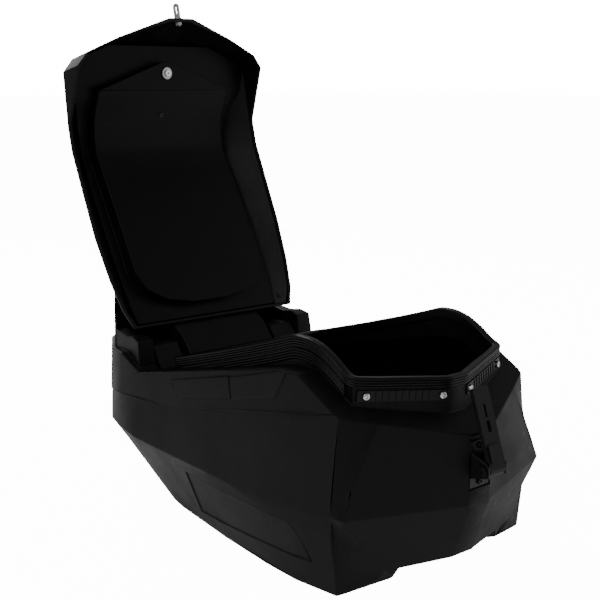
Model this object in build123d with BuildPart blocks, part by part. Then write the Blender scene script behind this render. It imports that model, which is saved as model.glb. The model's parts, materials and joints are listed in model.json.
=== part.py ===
"""Hard saddlebag: a moulded tub on two feet, a hinged lid with a deep nose, a rubber seal and a strap latch.

Millimetres, +Z up. The origin is on the ground under the middle of the open case, +Y points to the tail
and X runs across. The lid is drawn closed and turned to its open rest against the tail when written.
"""
import os

from build123d import *

os.makedirs("parts", exist_ok=True)

# ---- Driving dimensions ----
WALL = 4.0  # thickness of the moulded shells
HALF_WIDTH = 165.0  # at the crease, the widest line of the tub
NOSE_Y = -287.4  # flat tip of the prow
CORNER_Y = -243.0  # where the prow's facets meet the sides
TAIL_Y = 292.0
STEP = 1.5  # how far the upper wall and its plates stand proud

HINGE_Y = 150.0
HINGE_Z = 184.0
OPEN_DEG = 102.9  # how far the lid stands open
PIN_R = 4.0
PIN_GAP = 0.05
KNUCKLE_HALF = 70.0
BLOCK_IN = 78.5
BLOCK_OUT = 117.0
PIT_R = 38.0  # clear space round the lid's knuckle
POCKET_HALF = 122.0  # pocket in the tail that holds the hinge, between two cheeks
POCKET_FLOOR = 172.0
BUSH_R = 6.0

NECK_HALF = 122.0  # outside of the neck round the opening
NECK_REAR_Y = 92.0
NECK_CORNER_Y = -214.0
NECK_TIP_Y = -253.0
NECK_TIP_HALF = 14.0
SEAL_WIDE = 3.0  # how far the seal stands out either side of the neck's wall
SEAL_HIGH = 4.0

STRAP_HALF = 13.0
STRAP_THICK = 4.5
LATCH_Y = -304.0
LATCH_Z = 126.0
LATCH_BOLT_R = 3.0
LATCH_SLEEVE_R = 4.5
STRAP_BOSS_R = 8.5
EYE_Z = 172.0
EYE_HALF_HIGH = 5.0
EYE_THICK = 3.0
EYE_LONG = 19.0

CHANNEL_HALF = 88.0  # gap between the two feet
CHANNEL_ROOF = 18.0
MOUNT_X = 100.0  # bolt spacings of the floor plate
MOUNT_Y = 200.0
MOUNT_CENTRE_Y = -68.0
MOUNT_HOLE_R = 4.25
SCREW_R = 1.8

# ---- Cross-sections along Y ----
# tub: y, base half-width and height, crease half-width and height, shoulder half-width and height
TUB_ROWS = [
    (NOSE_Y, 16.0, 79.0, 17.0, 83.0, 18.0, 162.7),
    (-264.0, 17.0, 16.0, 94.5, 86.0, 68.8, 173.9),
    (CORNER_Y, 85.6, 8.0, HALF_WIDTH, 90.0, 114.3, 183.9),
    (-224.0, 154.0, 0.0, HALF_WIDTH, 89.5, 152.5, 193.0),
    (-163.0, 156.0, 0.0, HALF_WIDTH, 86.0, 153.6, 229.0),
    (-129.0, 152.0, 0.0, HALF_WIDTH, 85.5, 153.6, 229.0),
    (-15.0, 132.5, 0.0, HALF_WIDTH, 90.0, 153.6, 207.7),
    (103.0, 106.0, 0.0, HALF_WIDTH, 99.5, 152.0, 184.4),
    (125.0, 102.0, 3.0, 164.0, 100.5, 152.0, 180.0),
    (167.0, 95.0, 20.0, 155.0, 103.0, 149.0, 198.0),
    (204.0, 86.0, 45.0, 142.0, 105.0, 138.0, 198.0),
    (257.0, 62.0, 76.0, 106.0, 108.0, 102.0, 198.0),
    (TAIL_Y, 36.0, 92.0, 64.0, 110.0, 60.0, 198.0),
]
LEDGE_LINE = [(row[0], row[6]) for row in TUB_ROWS[:8]]
# raised tail: y, half-width at its foot and at its top
HUMP_ROWS = [
    (198.0, 136.0, 135.0),
    (204.0, 134.5, 133.5),
    (257.0, 98.0, 97.0),
    (TAIL_Y - 4.0, 57.0, 56.0),
]
HUMP_BASE = 194.0
HUMP_TOP = 258.0
# cheeks beside the hinge, as wide as the raised tail
CHEEK_ROWS = [(130.0, 148.0, 146.0), (200.0, 136.0, 135.0)]
# height of the neck's rim along Y
RIM_LINE = [
    (-270.0, 213.0),
    (-252.0, 217.0),
    (-222.0, 224.0),
    (-204.0, 230.0),
    (-186.0, 243.0),
    (-168.0, 253.0),
    (-148.0, 258.5),
    (-126.0, 259.0),
    (-95.0, 249.0),
    (-53.0, 236.5),
    (4.0, 220.5),
    (70.0, 203.0),
    (112.0, 192.0),
]
# step along the side wall, falling towards the tail
STEP_LINE = [(-228.0, 198.5), (-172.0, 187.5), (-110.0, 178.0), (-3.0, 160.5), (74.0, 150.0), (312.0, 139.0)]
# lid, closed: y, half-width, height of its lower edge and of its belt, crown half-width and height
LID_ROWS = [
    (NOSE_Y, 19.0, 163.7, 184.0, 17.0, 190.0),
    (-278.0, 49.0, 170.0, 208.0, 36.0, 222.0),
    (-264.6, 92.0, 178.5, 219.0, 70.0, 240.0),
    (-246.0, 138.0, 188.0, 226.0, 98.0, 255.0),
    (-230.0, 152.0, 192.5, 229.0, 108.0, 264.0),
    (-163.0, 154.0, 230.0, 233.5, 114.0, 284.0),
    (-129.0, 154.0, 230.0, 233.5, 114.0, 285.0),
    (-72.0, 154.0, 219.4, 223.5, 114.0, 270.0),
    (-15.0, 153.6, 208.7, 213.0, 113.0, 252.0),
    (41.5, 149.0, 197.5, 201.5, 112.0, 236.0),
    (82.0, 142.0, 189.5, 193.5, 114.0, 222.0),
    (107.0, 132.0, 185.0, 189.0, 116.0, 211.0),
]
# raised panel of the liner, which dips into the neck: y and half-width at the flange
PANEL_LINE = [(-241.0, 9.0), (-205.0, 110.0), (36.0, 110.0), (60.0, 99.0), (75.0, 74.0), (83.0, 34.0)]
PANEL_DROP = 9.0  # from the neck's rim down to the panel
LINER = 3.0
LINER_GAP = 3.0  # between the liner and the shell round it
FLANGE_GAP = 4.8  # from the rim up to the liner's flange
FLANGE_ENDS = (-264.6, 102.0)


def line_at(line, y):
    """Height at y of a line given as (y, z) points."""
    for (y0, z0), (y1, z1) in zip(line, line[1:]):
        if y <= y1:
            return z0 + (z1 - z0) * (y - y0) / (y1 - y0)
    return line[-1][1]


def both_sides(half):
    """A closed polygon from its right-hand half, listed from the bottom to the top."""
    return [(-x, z) for x, z in reversed(half)] + list(half)


def add_sections(sections, mode=Mode.ADD):
    """A ruled solid through polygons in X-Z, each at its own y, joined to or cut from the current part."""
    outlines = []
    for y, points in sections:
        with BuildSketch(Plane.XZ.offset(-y)) as outline:
            with BuildLine():
                Polyline(*points, close=True)
            make_face()
        outlines.append(outline.sketch)
    loft(outlines, ruled=True, mode=mode)


def side_profile(points, mode=Mode.ADD, start=-200.0, end=200.0):
    """A prism along X with the given outline in Y-Z, joined to or cut from the current part."""
    with BuildSketch(Plane.YZ.offset(start)) as outline:
        with BuildLine():
            Polyline(*points, close=True)
        make_face()
    extrude(outline.sketch, amount=end - start, mode=mode)


def rod(start, end, radius, mode=Mode.ADD, centre=(HINGE_Y, HINGE_Z)):
    """A round bar along X."""
    with BuildSketch(Plane.YZ.offset(start)) as outline:
        with Locations(centre):
            Circle(radius)
    extrude(outline.sketch, amount=end - start, mode=mode)


def band(line, low, high):
    """Outline in Y-Z of the band that follows a line, from low to high above it."""
    return [(y, z + low) for y, z in line] + [(y, z + high) for y, z in reversed(line)]


def tub_sections(inset=0.0, raise_base=0.0, drop_top=0.0):
    """Cross-sections of the tub, moved inwards."""
    rows = []
    for y, base, base_z, crease, crease_z, shoulder, shoulder_z in TUB_ROWS:
        if y == NOSE_Y:
            y += 1.6 * inset
        if y == TAIL_Y:
            y -= 1.4 * inset
        half = [
            (base - 0.5 * inset, base_z + raise_base),
            (crease - inset, crease_z + 0.4 * raise_base),
            (shoulder - inset, shoulder_z - drop_top),
        ]
        rows.append((y, both_sides(half)))
    return rows


def neck_outline(inset):
    """Plan outline of the neck, moved inwards, as a polygon."""
    half = NECK_HALF - inset
    tip = NECK_TIP_HALF - 0.6 * inset
    right = [(half, NECK_REAR_Y - inset), (half, NECK_CORNER_Y + 0.6 * inset), (tip, NECK_TIP_Y + inset)]
    return right + [(-x, y) for x, y in reversed(right)]


def neck_prism(inset, mode=Mode.ADD, bottom=120.0, top=290.0):
    """A tall prism on the neck's outline."""
    with BuildSketch(Plane.XY.offset(bottom)) as outline:
        with BuildLine():
            Polyline(*neck_outline(inset), close=True)
        make_face()
    extrude(outline.sketch, amount=top - bottom, mode=mode)


# ---- Screw places on the front facets of the neck ----
def facet_place(side, distance, below_rim):
    """Plane on the outside of a front facet of the neck, at a distance from its corner."""
    run = Vector(side * (NECK_TIP_HALF - NECK_HALF), NECK_TIP_Y - NECK_CORNER_Y, 0).normalized()
    point = Vector(side * NECK_HALF, NECK_CORNER_Y, 0) + run * distance
    height = line_at(RIM_LINE, point.Y) - below_rim
    outwards = Vector(-side * run.Y, side * run.X, 0)
    return Plane(Vector(point.X, point.Y, height), x_dir=run * -side, z_dir=outwards)


SCREW_PLACES = [facet_place(side, distance, 17.0) for side in (-1, 1) for distance in (14.0, 106.0)]


def screw_holes():
    """Clear holes for the strip screws, cut through the current part."""
    for place in SCREW_PLACES:
        with BuildSketch(place.offset(12.0)) as hole:
            Circle(SCREW_R)
        extrude(hole.sketch, amount=-24.0, mode=Mode.SUBTRACT)


# ---- Tub ----
PLATES = [
    [(57.0, 184.0), (39.0, 166.0), (-58.0, 183.5), (-52.0, 208.0)],
    [(-54.0, 207.0), (-60.0, 184.0), (-132.0, 198.0), (-149.0, 232.0)],
]
with BuildPart() as upper_wall:
    add_sections(tub_sections(-STEP))
    side_profile(band(STEP_LINE, 0.0, 140.0), mode=Mode.INTERSECT)
with BuildPart() as plates:
    for plate in PLATES:
        with BuildPart(mode=Mode.PRIVATE) as one_plate:
            add_sections(tub_sections(-2.0 * STEP))
            side_profile(plate, mode=Mode.INTERSECT)
        add(one_plate.part)
with BuildPart() as side_panel:
    side_profile([(32.0, 20.0), (-191.0, 30.0), (-173.0, 56.0), (-158.0, 66.0), (-72.0, 69.0), (29.0, 77.0)])
    add_sections(tub_sections(STEP), mode=Mode.SUBTRACT)
with BuildPart() as feet_bridge:
    add_sections(tub_sections())
    with BuildSketch(Plane.XZ.offset(-TAIL_Y)) as bridge:
        with BuildLine():
            Polyline(
                (-CHANNEL_HALF - 12, 0),
                (-CHANNEL_HALF, CHANNEL_ROOF + WALL),
                (CHANNEL_HALF, CHANNEL_ROOF + WALL),
                (CHANNEL_HALF + 12, 0),
                close=True,
            )
        make_face()
    extrude(bridge.sketch, amount=TAIL_Y - NOSE_Y, mode=Mode.INTERSECT)
with BuildPart() as neck:
    neck_prism(0.0)
    neck_prism(WALL, mode=Mode.SUBTRACT)
    neck_band = [(y, z - 3.5) for y, z in LEDGE_LINE] + list(reversed(RIM_LINE))
    side_profile(neck_band, mode=Mode.INTERSECT)
    screw_holes()
with BuildPart() as cheeks:
    add_sections([(y, both_sides([(foot, 170.0), (top, 240.0)])) for y, foot, top in CHEEK_ROWS])
    side_profile(
        [(132, 180), (137, 215), (152, 219), (168, 217), (200, 223), (200, 194), (167, 194)], mode=Mode.INTERSECT
    )
    side_profile(
        [(100, 170), (100, 240), (210, 240), (210, 170)], Mode.SUBTRACT, start=-POCKET_HALF, end=POCKET_HALF
    )
with BuildPart() as pocket_walls:
    with BuildSketch(Plane.XY.offset(POCKET_FLOOR - WALL)) as walls:
        with Locations((0, HINGE_Y)):
            Rectangle(2 * (POCKET_HALF + WALL), 2 * (PIT_R + WALL))
    extrude(walls.sketch, amount=30.0)
    add_sections(tub_sections(), mode=Mode.INTERSECT)
with BuildPart() as tub:
    add_sections(tub_sections())
    add(upper_wall.part)
    add(plates.part)
    add_sections([(y, both_sides([(foot, HUMP_BASE), (top, HUMP_TOP)])) for y, foot, top in HUMP_ROWS])
    side_profile([(190, 230), (198, 230), (218, 259), (190, 259)], mode=Mode.SUBTRACT)
    add(side_panel.part, mode=Mode.SUBTRACT)
    # hollow inside, up into the tail
    add_sections(tub_sections(WALL, 5.0, WALL), mode=Mode.SUBTRACT)
    hump_inside = [(204.0, 130.0, 124.0), (212.0, 127.0, 121.0), (257.0, 94.0, 90.0), (TAIL_Y - 9.0, 52.0, 48.0)]
    add_sections(
        [(y, both_sides([(foot, HUMP_BASE - 4), (top, 226.0)])) for y, foot, top in hump_inside],
        mode=Mode.SUBTRACT,
    )
    add(feet_bridge.part)
    # channel between the feet
    with BuildSketch(Plane.XZ.offset(-TAIL_Y)) as channel:
        with BuildLine():
            Polyline(
                (-CHANNEL_HALF - 6, -1),
                (-CHANNEL_HALF + 6, CHANNEL_ROOF),
                (CHANNEL_HALF - 6, CHANNEL_ROOF),
                (CHANNEL_HALF + 6, -1),
                close=True,
            )
        make_face()
    extrude(channel.sketch, amount=TAIL_Y - NOSE_Y, mode=Mode.SUBTRACT)
    # opening and neck
    neck_prism(WALL, mode=Mode.SUBTRACT)
    add(neck.part)
    # pocket that holds the hinge, between the tail's cheeks
    add(pocket_walls.part)
    add(cheeks.part)
    with BuildSketch(Plane.XY.offset(POCKET_FLOOR)) as pocket:
        with Locations((0, HINGE_Y)):
            Rectangle(2 * POCKET_HALF, 2 * PIT_R)
    extrude(pocket.sketch, amount=60, mode=Mode.SUBTRACT)
    # trough below it for the lid's knuckle
    with BuildSketch(Plane.YZ.offset(-KNUCKLE_HALF - 2 - WALL)) as trough:
        with Locations((HINGE_Y, HINGE_Z)):
            Circle(PIT_R + WALL)
        with Locations((HINGE_Y, POCKET_FLOOR + 50)):
            Rectangle(200, 100, mode=Mode.SUBTRACT)
    extrude(trough.sketch, amount=2 * (KNUCKLE_HALF + 2 + WALL))
    rod(-KNUCKLE_HALF - 2, KNUCKLE_HALF + 2, PIT_R, mode=Mode.SUBTRACT)
    # hinge blocks either side of the knuckle
    for side in (-1, 1):
        ends = sorted((side * BLOCK_IN, side * BLOCK_OUT))
        block = [(-29, POCKET_FLOOR - 2), (-5, 205), (18, 205), (26, 192), (26, POCKET_FLOOR - 2)]
        side_profile([(HINGE_Y + y, z) for y, z in block], start=ends[0], end=ends[1])
        rod(ends[0] - 1, ends[1] + 1, BUSH_R, mode=Mode.SUBTRACT)
    # flat recess for the latch on the prow
    with BuildSketch(Plane.XZ.offset(-NOSE_Y - 3.0)) as recess:
        with Locations((0, 130)):
            Rectangle(36, 60)
    extrude(recess.sketch, amount=10, mode=Mode.SUBTRACT)
    with BuildSketch(Plane.XZ.offset(-NOSE_Y + 10)) as fixing:
        with Locations((0, 108), (0, 148)):
            Circle(2.0)
    extrude(fixing.sketch, amount=-20, mode=Mode.SUBTRACT)
    # mounting holes in the bridge between the feet
    with BuildSketch() as mount:
        with Locations((0, MOUNT_CENTRE_Y)):
            with GridLocations(MOUNT_X, MOUNT_Y, 2, 2):
                Circle(MOUNT_HOLE_R)
    extrude(mount.sketch, amount=60, mode=Mode.SUBTRACT)
tub.part.label = "tub"
export_step(tub.part, "parts/tub.step")

# ---- Seal round the neck's rim ----
with BuildPart() as rim_seal:
    neck_prism(-SEAL_WIDE)
    neck_prism(WALL + SEAL_WIDE, mode=Mode.SUBTRACT)
    side_profile(band(RIM_LINE, -9.0, SEAL_HIGH), mode=Mode.INTERSECT)
    with BuildPart(mode=Mode.PRIVATE) as seat:
        neck_prism(0.0)
        neck_prism(WALL, mode=Mode.SUBTRACT)
        side_profile(band(RIM_LINE, -40.0, 0.0), mode=Mode.INTERSECT)
    add(seat.part, mode=Mode.SUBTRACT)
rim_seal.part.label = "rim_seal"
export_step(rim_seal.part, "parts/rim_seal.step")

# ---- Ribbed strips below the seal ----
STRIP_THICK = 2.0
STRIP_TOP = -11.0
STRIP_BOTTOM = -23.0
RIB_PITCH = 8.0
for side, name in ((-1, "left"), (1, "right")):
    with BuildPart() as front_strip:
        first = facet_place(side, 4.0, 17.0)
        last = facet_place(side, 113.0, 17.0)
        lengthwise = (last.origin - first.origin).normalized()
        face_plane = Plane(
            (first.origin + last.origin) * 0.5,
            x_dir=lengthwise,
            z_dir=first.z_dir - lengthwise * lengthwise.dot(first.z_dir),
        )
        length = (last.origin - first.origin).length
        with BuildSketch(face_plane):
            Rectangle(length, STRIP_TOP - STRIP_BOTTOM)
        extrude(amount=STRIP_THICK)
        with BuildSketch(face_plane.offset(STRIP_THICK)):
            with GridLocations(RIB_PITCH, 0, int((length - 34) / RIB_PITCH), 1):
                Rectangle(2.5, STRIP_TOP - STRIP_BOTTOM - 2)
        extrude(amount=1.0)
        screw_holes()
    front_strip.part.label = f"front_strip_{name}"
    export_step(front_strip.part, f"parts/front_strip_{name}.step")

    with BuildPart() as side_strip:
        ends_y = (-211.0, -8.0)
        strip_line = [p for p in RIM_LINE if ends_y[0] < p[0] < ends_y[1]]
        strip_line = [(y, line_at(RIM_LINE, y)) for y in sorted([*ends_y, *(p[0] for p in strip_line)])]
        wall_x = side * NECK_HALF
        outer_x = side * (NECK_HALF + STRIP_THICK)
        ends = sorted((wall_x, outer_x))
        side_profile(band(strip_line, STRIP_BOTTOM + 8, STRIP_TOP), start=ends[0], end=ends[1])
    side_strip.part.label = f"side_strip_{name}"
    export_step(side_strip.part, f"parts/side_strip_{name}.step")

# ---- Screws and nuts that hold the front strips ----
HEAD_R = 4.2
HEAD_HIGH = 2.4
with BuildPart() as strip_screws:
    for place in SCREW_PLACES:
        with BuildSketch(place.offset(STRIP_THICK)) as head:
            Circle(HEAD_R)
        extrude(head.sketch, amount=HEAD_HIGH)
        with BuildSketch(place.offset(STRIP_THICK)) as shank:
            Circle(SCREW_R - 0.05)
        extrude(shank.sketch, amount=-(WALL + STRIP_THICK + 5.0))
strip_screws.part.label = "strip_screws"
export_step(strip_screws.part, "parts/strip_screws.step")

with BuildPart() as strip_nuts:
    for place in SCREW_PLACES:
        with BuildSketch(place.offset(-WALL - 1.2)) as nut:
            RegularPolygon(3.6, 6)
            Circle(SCREW_R + 0.05, mode=Mode.SUBTRACT)
        extrude(nut.sketch, amount=-2.8)
strip_nuts.part.label = "strip_nuts"
export_step(strip_nuts.part, "parts/strip_nuts.step")

# ---- Plate on the floor that spreads the load of the mounting bolts ----
with BuildPart() as floor_plate:
    with BuildSketch(Plane.XY.offset(CHANNEL_ROOF + WALL)):
        with Locations((0, MOUNT_CENTRE_Y)):
            RectangleRounded(MOUNT_X + 40, MOUNT_Y + 40, 12)
            with GridLocations(MOUNT_X, MOUNT_Y, 2, 2):
                Circle(MOUNT_HOLE_R, mode=Mode.SUBTRACT)
            Rectangle(60, 140, mode=Mode.SUBTRACT)
    extrude(amount=2.5)
floor_plate.part.label = "floor_plate"
export_step(floor_plate.part, "parts/floor_plate.step")

# ---- Lid: outer shell with its knuckle ----
HINGE_AXIS = Axis((0, HINGE_Y, HINGE_Z), (1, 0, 0))


def lid_row(y):
    """Cross-section of the lid's outside at y."""
    return (y, *(line_at([(row[0], row[column]) for row in LID_ROWS], y) for column in range(1, 6)))


def lid_half(row, z, inset):
    """Half-width of the lid at height z in one cross-section, moved inwards."""
    _, half, _, belt_z, crown_half, crown_z = row
    share = max(0.0, (z - belt_z) / (crown_z - inset - belt_z))
    return half - inset + share * (crown_half - half + 0.4 * inset)


def lid_sections(inset=0.0, drop_edge=0.0):
    """Cross-sections of the closed lid, moved inwards."""
    rows = []
    for row in LID_ROWS:
        y, half, edge_z, belt_z, crown_half, crown_z = row
        if row is LID_ROWS[0]:
            y += inset
        if row is LID_ROWS[1]:
            y += 0.8 * inset
        if row is LID_ROWS[-1]:
            y -= inset
        points = [
            (half - inset, edge_z - drop_edge),
            (half - inset, belt_z),
            (crown_half - 0.6 * inset, crown_z - inset),
        ]
        rows.append((y, both_sides(points)))
    return rows


def flange_z(y):
    """Height of the liner's flange, just above the seal."""
    return line_at(RIM_LINE, y) + FLANGE_GAP


def rows_between(low, high, *lines):
    """The y of every row of some tables that lies between two ends, with the ends themselves."""
    return sorted({low, high, *(row[0] for line in lines for row in line if low < row[0] < high)})


def panel_sections(inset, top):
    """Cross-sections of the liner's raised panel, from its floor to a height above the flange."""
    rows = []
    ends = PANEL_LINE[0][0], PANEL_LINE[-1][0]
    for y in rows_between(*ends, PANEL_LINE, RIM_LINE):
        half = line_at(PANEL_LINE, y) - inset
        floor = line_at(RIM_LINE, y) - PANEL_DROP + inset
        place = min(max(y, ends[0] + inset), ends[1] - inset)
        rows.append((place, both_sides([(half - 4.0, floor), (half, flange_z(y) + top)])))
    return rows


def sloping_place(y, line):
    """Plane on the middle of a surface whose heights follow a line, facing away from the ground."""
    rise = line_at(line, y + 1.0) - line_at(line, y - 1.0)
    return Plane((0, y, line_at(line, y)), x_dir=(1, 0, 0), z_dir=(0, -0.5 * rise, 1))


def open_lid(piece):
    """A piece of the closed lid, turned to where it stands open."""
    return piece.rotate(HINGE_AXIS, -OPEN_DEG)


FLOOR_LINE = [(y, z - PANEL_DROP) for y, z in RIM_LINE]
SCREW_PLACE = sloping_place(-226.0, FLOOR_LINE)
PLUG_PLACE = sloping_place(-174.5, FLOOR_LINE)

with BuildPart() as screw_boss:
    with BuildSketch(SCREW_PLACE.offset(LINER + 0.2)):
        Circle(6.0)
    extrude(amount=60.0)
    add_sections(lid_sections(0.5), mode=Mode.INTERSECT)
with BuildPart() as lid_shell:
    add_sections(lid_sections())
    add_sections(lid_sections(WALL, 12.0), mode=Mode.SUBTRACT)
    add(screw_boss.part)
    knuckle = [(-46, 9), (-46, 25), (-15, 25), (15, 20), (30, 5), (30, -13), (16, -31), (-28, -9)]
    side_profile([(HINGE_Y + y, HINGE_Z + z) for y, z in knuckle], start=-KNUCKLE_HALF, end=KNUCKLE_HALF)
    hollow = [(-12, 19), (10, 15), (24, 3), (24, -10), (15, -24), (8, -19)]
    side_profile(
        [(HINGE_Y + y, HINGE_Z + z) for y, z in hollow],
        Mode.SUBTRACT,
        start=-KNUCKLE_HALF + 14,
        end=KNUCKLE_HALF - 14,
    )
    rod(-KNUCKLE_HALF - 1, KNUCKLE_HALF + 1, PIN_R + PIN_GAP, mode=Mode.SUBTRACT)
    # room for the seal's rear corners
    with BuildPart(mode=Mode.PRIVATE) as seal_room:
        neck_prism(-SEAL_WIDE - 0.3)
        side_profile([(85, 185), (85, 203.4), (97, 200.3), (97, 185)], mode=Mode.INTERSECT)
    add(seal_room.part, mode=Mode.SUBTRACT)
    # holes for the eye's stem in the nose and for the liner's screw
    with BuildSketch(Plane.XZ.offset(-NOSE_Y + 5)) as stem_hole:
        with Locations((0, EYE_Z)):
            Circle(2.6)
    extrude(stem_hole.sketch, amount=-20, mode=Mode.SUBTRACT)
    with BuildSketch(SCREW_PLACE) as screw_hole:
        Circle(2.05)
    extrude(screw_hole.sketch, amount=15, mode=Mode.SUBTRACT)
lid_shell_open = open_lid(lid_shell.part)
lid_shell_open.label = "lid_shell"
export_step(lid_shell_open, "parts/lid_shell.step")

# ---- Lid: inner liner with its flange and raised panel ----
with BuildPart() as lid_liner:
    flange_rows = []
    for y in rows_between(*FLANGE_ENDS, RIM_LINE, LID_ROWS):
        low = flange_z(y)
        half = lid_half(lid_row(y), low + LINER, WALL) - LINER_GAP
        flange_rows.append((y, both_sides([(half, low), (half, low + LINER)])))
    add_sections(flange_rows)
    add_sections(panel_sections(0.0, 1.0))
    add_sections(panel_sections(LINER, 2.0 * LINER), mode=Mode.SUBTRACT)
    for place, radius in ((SCREW_PLACE, 2.1), (PLUG_PLACE, 2.5)):
        with BuildSketch(place.offset(-8.0)) as hole:
            Circle(radius)
        extrude(hole.sketch, amount=16.0, mode=Mode.SUBTRACT)
lid_liner_open = open_lid(lid_liner.part)
lid_liner_open.label = "lid_liner"
export_step(lid_liner_open, "parts/lid_liner.step")

# rubber plug in the panel
with BuildPart() as lid_plug:
    with BuildSketch(PLUG_PLACE.offset(-1.1)) as disc:
        Circle(4.0)
    extrude(disc.sketch, amount=1.0)
    with BuildSketch(PLUG_PLACE.offset(-0.1)) as stem:
        Circle(2.4)
    extrude(stem.sketch, amount=4.0)
lid_plug_open = open_lid(lid_plug.part)
lid_plug_open.label = "lid_plug"
export_step(lid_plug_open, "parts/lid_plug.step")

# screw that holds the liner to the shell's boss, with its washer
with BuildPart() as liner_washer:
    with BuildSketch(SCREW_PLACE.offset(-2.1)):
        Circle(8.0)
        Circle(2.1, mode=Mode.SUBTRACT)
    extrude(amount=2.0)
liner_washer_open = open_lid(liner_washer.part)
liner_washer_open.label = "liner_washer"
export_step(liner_washer_open, "parts/liner_washer.step")

with BuildPart() as liner_screw:
    with BuildSketch(SCREW_PLACE.offset(-4.6)) as head:
        Circle(4.0)
        RegularPolygon(1.8, 6, mode=Mode.SUBTRACT)
    extrude(head.sketch, amount=2.4)
    with BuildSketch(SCREW_PLACE.offset(-2.3)) as shank:
        Circle(2.0)
    extrude(shank.sketch, amount=16.0)
liner_screw_open = open_lid(liner_screw.part)
liner_screw_open.label = "liner_screw"
export_step(liner_screw_open, "parts/liner_screw.step")

# ---- Padlock eye on the tip of the lid's nose ----
with BuildPart() as padlock_eye:
    with BuildSketch(Plane.YZ.offset(-EYE_THICK / 2)) as plate:
        with Locations((NOSE_Y - 1.5 - EYE_LONG / 2, EYE_Z)):
            SlotOverall(EYE_LONG + 2, 2 * EYE_HALF_HIGH)
            with Locations((-1.5, 0)):
                SlotOverall(12.0, 4.6, mode=Mode.SUBTRACT)
    extrude(plate.sketch, amount=EYE_THICK)
    with BuildSketch(Plane.XZ.offset(-NOSE_Y)) as collar:
        with Locations((0, EYE_Z)):
            Rectangle(7, 8)
    extrude(collar.sketch, amount=2.0)
    with BuildSketch(Plane.XZ.offset(-NOSE_Y)) as stem:
        with Locations((0, EYE_Z)):
            Circle(2.5)
    extrude(stem.sketch, amount=-WALL - 5.0)
padlock_eye_open = open_lid(padlock_eye.part)
padlock_eye_open.label = "padlock_eye"
export_step(padlock_eye_open, "parts/padlock_eye.step")

with BuildPart() as eye_nut:
    with BuildSketch(Plane.XZ.offset(-NOSE_Y - WALL - 0.1)) as nut:
        with Locations((0, EYE_Z)):
            RegularPolygon(4.6, 6)
            Circle(2.55, mode=Mode.SUBTRACT)
    extrude(nut.sketch, amount=-3.6)
eye_nut_open = open_lid(eye_nut.part)
eye_nut_open.label = "eye_nut"
export_step(eye_nut_open, "parts/eye_nut.step")

# ---- Hinge: pin, bushes in the blocks and clips on the pin's ends ----
with BuildPart() as hinge_pin:
    rod(-BLOCK_OUT - 5, BLOCK_OUT + 5, PIN_R)
hinge_pin.part.label = "hinge_pin"
export_step(hinge_pin.part, "parts/hinge_pin.step")

for side, name in ((-1, "left"), (1, "right")):
    inner = side * (BLOCK_IN - 1.5)
    outer = side * BLOCK_OUT
    with BuildPart() as hinge_bush:
        rod(*sorted((inner, outer)), BUSH_R)
        rod(*sorted((inner, side * BLOCK_IN)), BUSH_R + 3)
        rod(-BLOCK_OUT - 2, BLOCK_OUT + 2, PIN_R + PIN_GAP, mode=Mode.SUBTRACT)
    hinge_bush.part.label = f"hinge_bush_{name}"
    export_step(hinge_bush.part, f"parts/hinge_bush_{name}.step")

    with BuildPart() as pin_clip:
        rod(*sorted((side * (BLOCK_OUT + 0.2), side * (BLOCK_OUT + 2.2))), PIN_R + 3.5)
        rod(-BLOCK_OUT - 3, BLOCK_OUT + 3, PIN_R, mode=Mode.SUBTRACT)
    pin_clip.part.label = f"pin_clip_{name}"
    export_step(pin_clip.part, f"parts/pin_clip_{name}.step")

# ---- Rubber stops on the tail for the open lid ----
with BuildPart() as lid_bumpers:
    for x in (-60, 60):
        side_profile([(199, 231.5), (210, 247.4), (207.8, 248.9), (196.8, 233)], start=x - 12, end=x + 12)
lid_bumpers.part.label = "lid_bumpers"
export_step(lid_bumpers.part, "parts/lid_bumpers.step")

# ---- Latch: bracket, bolt and nut on the prow, rubber strap on a sleeve ----
RECESS_Y = NOSE_Y + 3.0
EAR_IN = STRAP_HALF + 0.5
EAR_OUT = EAR_IN + 2.5
with BuildPart() as latch_bracket:
    with BuildSketch(Plane.XZ.offset(-RECESS_Y)) as base:
        with Locations((0, 128)):
            Rectangle(2 * EAR_OUT, 52)
        with Locations((0, 108), (0, 148)):
            Circle(2.05, mode=Mode.SUBTRACT)
    extrude(base.sketch, amount=2.5)
    for side in (-1, 1):
        ends = sorted((side * EAR_IN, side * EAR_OUT))
        side_profile(
            [(RECESS_Y, 113), (RECESS_Y, 143), (LATCH_Y - 2, 135), (LATCH_Y - 8, 131), (LATCH_Y - 8, 119)],
            start=ends[0],
            end=ends[1],
        )
    rod(-EAR_OUT - 1, EAR_OUT + 1, LATCH_BOLT_R + PIN_GAP, mode=Mode.SUBTRACT, centre=(LATCH_Y, LATCH_Z))
latch_bracket.part.label = "latch_bracket"
export_step(latch_bracket.part, "parts/latch_bracket.step")

with BuildPart() as latch_bolt:
    rod(-EAR_OUT, EAR_OUT + 4.5, LATCH_BOLT_R, centre=(LATCH_Y, LATCH_Z))
    rod(-EAR_OUT - 3, -EAR_OUT, 5.5, centre=(LATCH_Y, LATCH_Z))
latch_bolt.part.label = "latch_bolt"
export_step(latch_bolt.part, "parts/latch_bolt.step")

with BuildPart() as latch_nut:
    with BuildSketch(Plane.YZ.offset(EAR_OUT)) as nut:
        with Locations((LATCH_Y, LATCH_Z)):
            RegularPolygon(5.5, 6)
            Circle(LATCH_BOLT_R + 0.02, mode=Mode.SUBTRACT)
    extrude(nut.sketch, amount=3.5)
latch_nut.part.label = "latch_nut"
export_step(latch_nut.part, "parts/latch_nut.step")

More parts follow.
